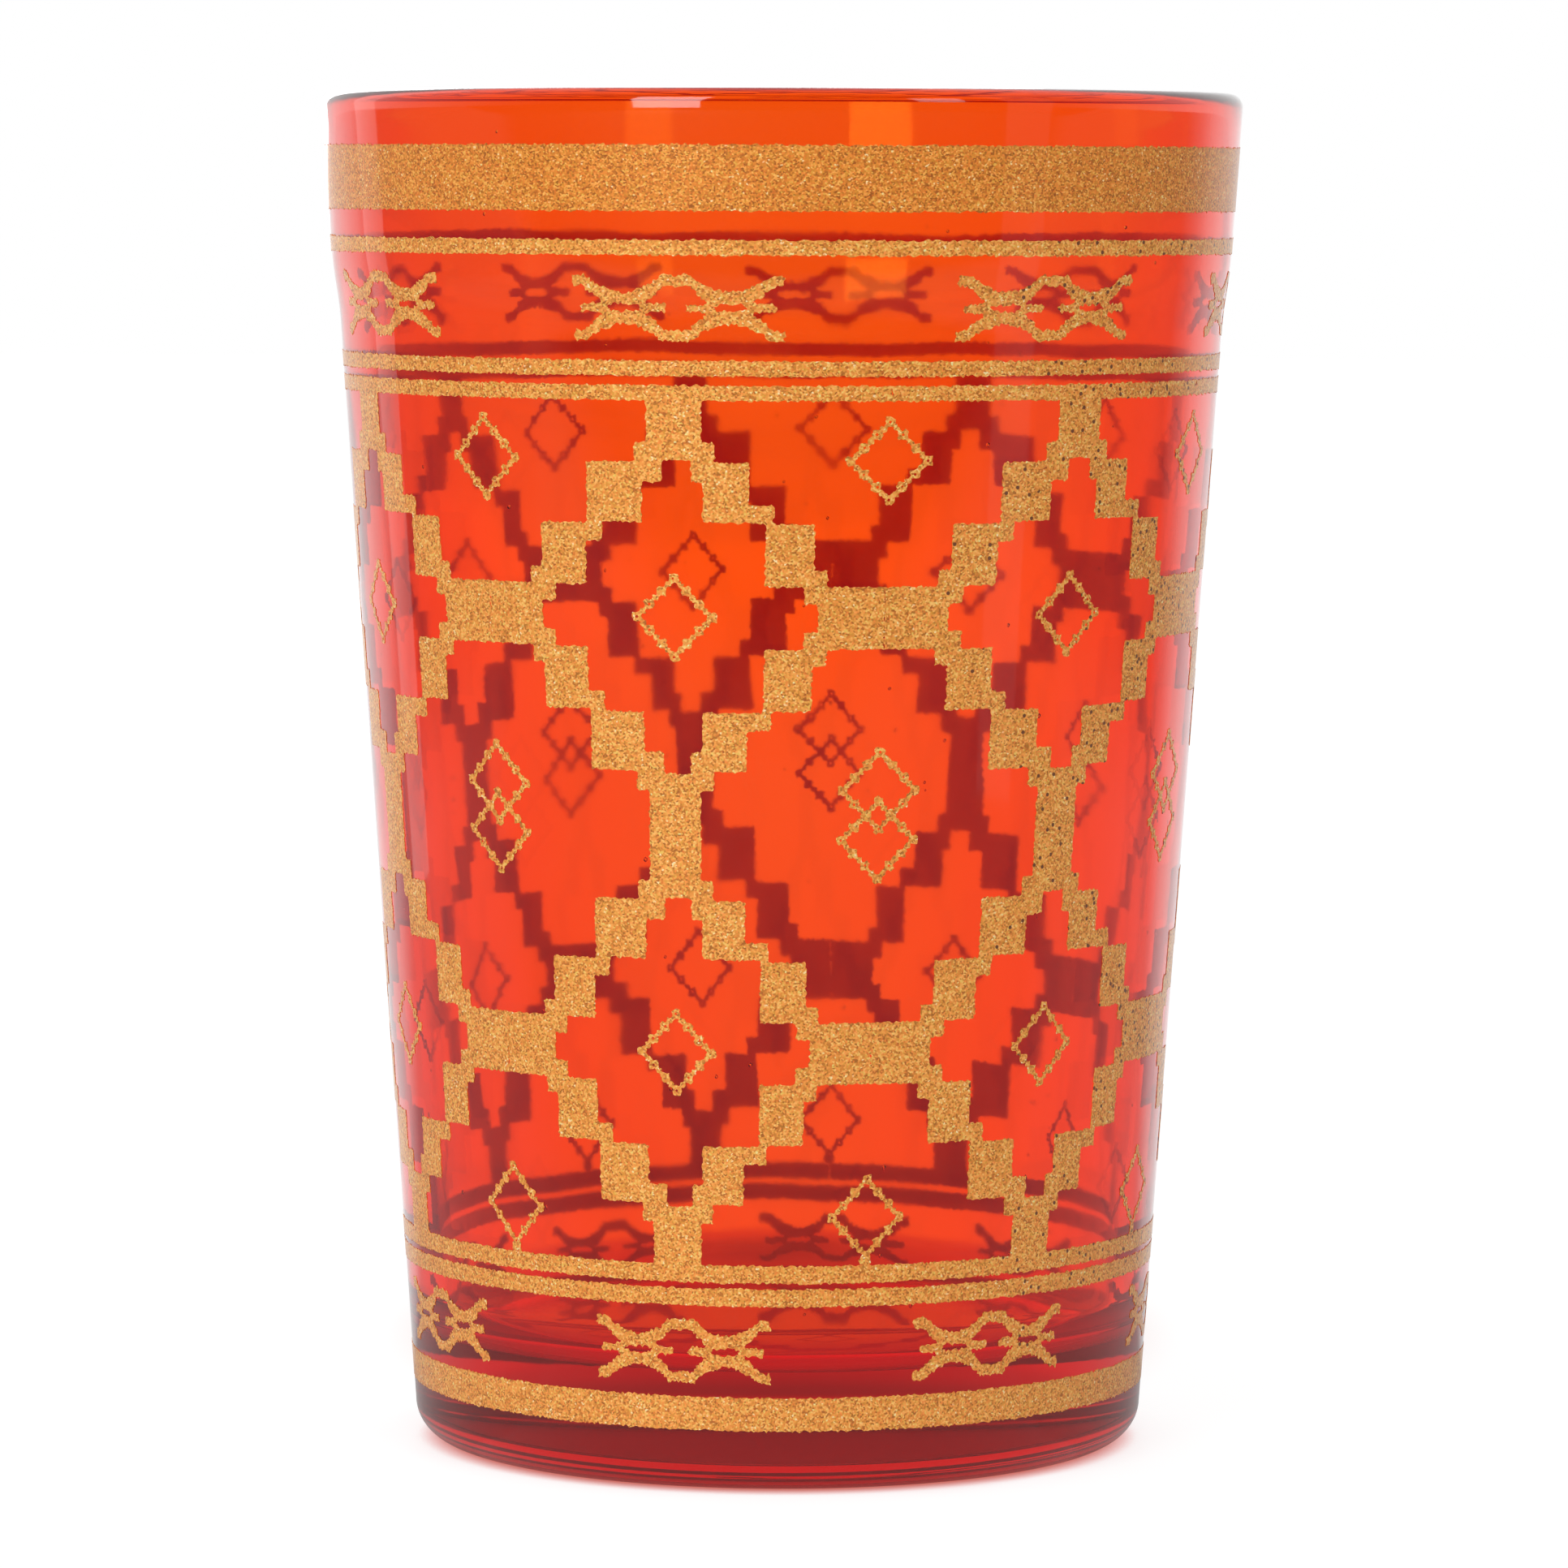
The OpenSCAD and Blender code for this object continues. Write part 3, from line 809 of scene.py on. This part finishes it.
largeCells, smallCells = middles[1:], columns[:-1]
diamondRows = {
    "crestDiamonds": ("crest_diamonds", largeCells),
    "upperCellDiamonds": ("upper_cell_diamonds", smallCells),
    "twinDiamonds": ("twin_diamonds", largeCells),
    "lowerCellDiamonds": ("lower_cell_diamonds", smallCells),
    "baseDiamonds": ("base_diamonds", largeCells),
}
for start, (name, (node, angles)) in enumerate(diamondRows.items(), draws["diamonds"]):
    rng = np.random.default_rng(start)
    low, high = heights(node)
    z = (low + high) / 2
    patches = []
    for angle in angles:
        if name == "twinDiamonds":
            apart = diamondForm["rise"] * diamondForm["twinShare"]
            shapes = [diamondShape(angle, z + up * apart, rng) for up in (-1, 1)]
        elif name == "baseDiamonds":
            z = high - diamondForm["rise"] - diamondForm["bead"] / 2
            shapes = [diamondShape(angle, z, rng), stubShape(angle, z, rng)]
        else:
            shapes = [diamondShape(angle, z, rng)]
        patches.append(fillFlat(shapes))
    layGold(name, node, patches, gold["firedGold"])
print("diamonds laid")


# knots

knotForm = {
    "frontKnot": -13.7,
    "pitch": 48.4,
    "count": 8,
    "firstKnot": -2,  # the first one drawn, counted from the front
    "closing": 3,
    "reach": 13.4,
    "fray": 0.065,
    "eyePlace": 0.5,  # share of the reach
}
# a quarter of each outline, in shares of the reach and of half the height
knotQuarter = [(0.93, 0.12), (0.75, 0.13), (0.7, 0.17), (0.79, 0.37), (0.89, 0.66), (1, 0.69), (1, 1),
    (0.88, 1), (0.77, 0.74), (0.62, 0.55), (0.54, 0.48), (0.46, 0.48), (0.38, 0.55), (0.23, 0.74), (0.15, 1)]
gapQuarter = [(0.09, 0.12), (0.25, 0.13), (0.3, 0.17), (0.21, 0.37), (0.12, 0.67)]
eyeQuarter = [(0.16, 0.05), (0.1, 0.1)]


def knotShape(angle, low, high, rng):
    at = leaned([(angle, (low + high) / 2)])[0]
    size = np.array([knotForm["reach"] * degree, (high - low) / 2])
    eyes = [allRound(eyeQuarter) + (side * knotForm["eyePlace"], 0) for side in (-1, 1)]
    loops = [allRound(knotQuarter), allRound(gapQuarter), *eyes]
    drawn = [frayed(loop * size + at, rng, fray=knotForm["fray"]) for loop in loops]
    return drawn[0], drawn[1:]


def knotAt(i):
    f = knotForm
    first = f["frontKnot"] + f["firstKnot"] * f["pitch"]
    return printAngle(i, first, f["count"], f["pitch"], f["closing"])


knotRows = {"upperKnots": "upper_knots", "lowerKnots": "lower_knots"}
for start, (name, node) in enumerate(knotRows.items(), draws["knots"]):
    rng = np.random.default_rng(start)
    knots = [knotShape(knotAt(i), *heights(node), rng) for i in range(knotForm["count"])]
    layGold(name, node, [fillFlat([knot]) for knot in knots], gold["firedGold"])
print("knots laid")


# floor, world, lamps and camera

studio = {
    "floorSide": 6.0,
    "floorDrop": 0.05,
    "floorColor": (0.92, 0.92, 0.92, 1),
    "floorGlowShare": 0.85,  # the rest of the floor is lit by the lamps
    "floorLevel": 1.1,  # with the lit rest this makes white
    "contactReach": 15,  # shadow under the foot, from dark to none
    "contactTones": [(0.0, srgb(205, 110, 100)), (0.3, srgb(238, 194, 192)), (0.5, (0.97, 0.93, 0.93)),
        (0.66, (1, 1, 1))],
    # a painted shadow patch on the floor behind the glass: its middle and size in millimetres, and its tones
    "shadowPlace": (0, 46, 0),
    "shadowSize": (30, 54, 100),
    "shadowTones": [(0.0, srgb(168, 76, 66)), (0.5, srgb(222, 160, 152)), (1.0, (1, 1, 1))],
    # how bright the floor mirrors in the glass, by its place from front to back in metres
    "floorGlow": [(-0.32, 0.0), (-0.24, 0.22), (-0.06, 0.28), (0.1, 1.0)],
    # and by its side of the glass, from the front (-1) over the sides (0) to the back (1)
    "sideGlow": [(-0.75, 1.0), (-0.4, 0.2), (0.5, 0.12), (0.62, 0.45), (0.72, 0.85), (0.82, 1.0)],
    "nearGlow": (0.28, 0.42, 0.4, 0.1),  # at the sides it fades from one reach to the other
    "roomMirror": (-0.7, 0.9, 0.05, 1.0),  # the room as mirrored, dark in front and white behind
    "roomLight": (-1.0, 0.4, 1.04, 0.26),  # the room as a soft light, from front to back
    "roomTurn": 0.55,  # it is brighter on the left
    "bounces": 40,  # light goes round inside the glass many times
}
# azimuth from the camera's side and + to the right, then distance, height, size and watts, in metres
lamps = {
    "frontLeft": (-28, 1.0, 0.36, (0.32, 0.7), 3.4),
    "frontRight": (39, 1.0, 0.36, (0.22, 0.5), 0.8),
    "backFill": (190, 1.0, 0.4, (0.5, 0.7), 3.0),
    "leftCard": (-118, 0.16, 0.11, (0.034, 0.22), 0.012),
    "rightCard": (58, 0.16, 0.11, (0.036, 0.22), 0.005),
}
cameraForm = {"lens": 168.77, "sensor": 36, "place": (0.281, -485.83, 83.254), "down": 4.695,
    "roll": 0.2105, "clip": (0.01, 100)}


def floorMirror(tree, coords):  # how bright the floor is to what mirrors it
    place = newNode(tree, "ShaderNodeSeparateXYZ", (-1200, -300))
    tree.links.new(coords, place.inputs["Vector"])
    reach = newNode(tree, "ShaderNodeVectorMath", (-1200, -450), operation="LENGTH")
    tree.links.new(coords, reach.inputs[0])
    stops = studio["floorGlow"]
    along = levelRamp(tree, place.outputs["Y"], stops, stops[0][0], stops[-1][0], (-600, -300))
    facing = mathNode(tree, "DIVIDE", (place.outputs["Y"], reach.outputs["Value"]), (-1000, -450))
    aside = levelRamp(tree, facing, studio["sideGlow"], -1, 1, (-600, -500))
    near = mapRange(tree, reach.outputs["Value"], studio["nearGlow"], (-600, -700))
    aside = mathNode(tree, "MAXIMUM", (aside, near), (-350, -500))
    return mathNode(tree, "MINIMUM", (along, aside), (-200, -400))


def makeFloor():
    material, tree, out = newMaterial("paleFloor")
    link = tree.links.new
    rays = newNode(tree, "ShaderNodeLightPath", (-1200, 400)).outputs
    glossy, through = rays["Is Glossy Ray"], rays["Is Transmission Ray"]
    seen = mathNode(tree, "MAXIMUM", (rays["Is Camera Ray"], through), (-450, 400))
    seen = mathNode(tree, "MAXIMUM", (seen, glossy), (-250, 400))
    seen = mathNode(tree, "MULTIPLY", (seen, studio["floorGlowShare"]), (-50, 400))
    coords = newNode(tree, "ShaderNodeTexCoord", (-1400, -300)).outputs["Object"]
    mirror = mathNode(tree, "SUBTRACT", (glossy, through), (-450, 200), True)
    level = mixed(tree, mirror, studio["floorLevel"], floorMirror(tree, coords), (0, -200), "FLOAT")
    hidden = newNode(tree, "ShaderNodeAmbientOcclusion", (-900, 0), samples=8)
    setInputs(hidden, {"Distance": studio["contactReach"] * mm})
    contact = ramp(tree, hidden.outputs["AO"], studio["contactTones"], (-650, 0))
    # a painted soft red shadow of the glass on the floor behind it, where the front lamps would throw it
    stretch = newNode(tree, "ShaderNodeMapping", (-900, -900), vector_type="TEXTURE")
    setInputs(stretch, {"Location": [v * mm for v in studio["shadowPlace"]],
        "Scale": [v * mm for v in studio["shadowSize"]]})
    link(coords, stretch.inputs["Vector"])
    away = newNode(tree, "ShaderNodeVectorMath", (-700, -900), operation="LENGTH")
    link(stretch.outputs["Vector"], away.inputs[0])
    paintedShadow = ramp(tree, away.outputs["Value"], studio["shadowTones"], (-450, -900), "EASE")
    glow = newNode(tree, "ShaderNodeEmission", (300, -100))
    link(level, glow.inputs["Strength"])
    link(mixed(tree, 1, contact, paintedShadow, (0, -450), blend="MULTIPLY"), glow.inputs["Color"])
    matt = newNode(tree, "ShaderNodeBsdfDiffuse", (300, 200))
    setInputs(matt, {"Color": studio["floorColor"]})
    mix = newNode(tree, "ShaderNodeMixShader", (600, 100))
    link(seen, mix.inputs["Fac"])
    link(matt.outputs["BSDF"], mix.inputs[1])
    link(glow.outputs["Emission"], mix.inputs[2])
    link(mix.outputs["Shader"], out.inputs["Surface"])
    half = studio["floorSide"] / 2 / mm
    signs = ((-1, -1), (1, -1), (1, 1), (-1, 1))
    corners = [(x * half, y * half, -studio["floorDrop"]) for x, y in signs]
    meshObject("floor", corners, [(0, 1, 2, 3)], material)


def makeWorld():
    world = bpy.data.worlds.new("studio")
    bpy.context.scene.world = world
    world.use_nodes = True
    tree = world.node_tree
    tree.nodes.clear()
    link = tree.links.new
    rays = newNode(tree, "ShaderNodeLightPath", (-900, 300)).outputs
    coords = newNode(tree, "ShaderNodeTexCoord", (-900, -100))
    parts = newNode(tree, "ShaderNodeSeparateXYZ", (-700, -100))
    link(coords.outputs["Generated"], parts.inputs["Vector"])
    x, y = parts.outputs["X"], parts.outputs["Y"]
    across = mathNode(tree, "MULTIPLY_ADD", (x, studio["roomTurn"], y), (-700, -400))
    around = mapRange(tree, across, studio["roomLight"], (-500, -400), "SMOOTHSTEP")
    toward = mapRange(tree, y, studio["roomMirror"], (-500, -100), "SMOOTHSTEP")
    unseen = mixed(tree, rays["Is Glossy Ray"], around, toward, (-250, 0), "FLOAT")
    seen = mathNode(tree, "MAXIMUM", (rays["Is Camera Ray"], rays["Is Transmission Ray"]), (-500, 300))
    sky = newNode(tree, "ShaderNodeBackground", (250, 100))
    setInputs(sky, {"Color": (1, 1, 1, 1)})
    link(mixed(tree, seen, unseen, 1, (0, 100), "FLOAT"), sky.inputs["Strength"])
    end = newNode(tree, "ShaderNodeOutputWorld", (500, 100))
    link(sky.outputs["Background"], end.inputs["Surface"])


def softbox(name, azimuth, distance, height, size, power):
    lamp = bpy.data.lights.new(name, "AREA")
    lamp.shape = "RECTANGLE"
    lamp.size, lamp.size_y = size
    lamp.energy = power
    obj = bpy.data.objects.new(name, lamp)
    bpy.context.scene.collection.objects.link(obj)
    a = math.radians(azimuth)
    obj.location = (distance * math.sin(a), -distance * math.cos(a), height)
    aim = Vector((0, 0, glassH / 2 * mm)) - obj.location
    obj.rotation_euler = aim.to_track_quat("-Z", "Y").to_euler()
    obj.visible_camera = obj.visible_transmission = False


def makeCamera():
    f = cameraForm
    data = bpy.data.cameras.new("camera")
    camera = bpy.data.objects.new("camera", data)
    bpy.context.scene.collection.objects.link(camera)
    data.lens, data.sensor_width = f["lens"], f["sensor"]
    data.clip_start, data.clip_end = f["clip"]
    pitch, roll = math.radians(90 - f["down"]), math.radians(f["roll"])
    turn = Matrix.Rotation(pitch, 4, "X") @ Matrix.Rotation(roll, 4, "Z")
    camera.matrix_world = Matrix.Translation([v * mm for v in f["place"]]) @ turn
    bpy.context.scene.camera = camera


makeFloor()
makeWorld()
for name, lamp in lamps.items():
    softbox(name, *lamp)
makeCamera()
bpy.context.scene.view_settings.view_transform = "Standard"
cycles = bpy.context.scene.cycles
cycles.max_bounces = cycles.glossy_bounces = cycles.transmission_bounces = studio["bounces"]
print("studio set")
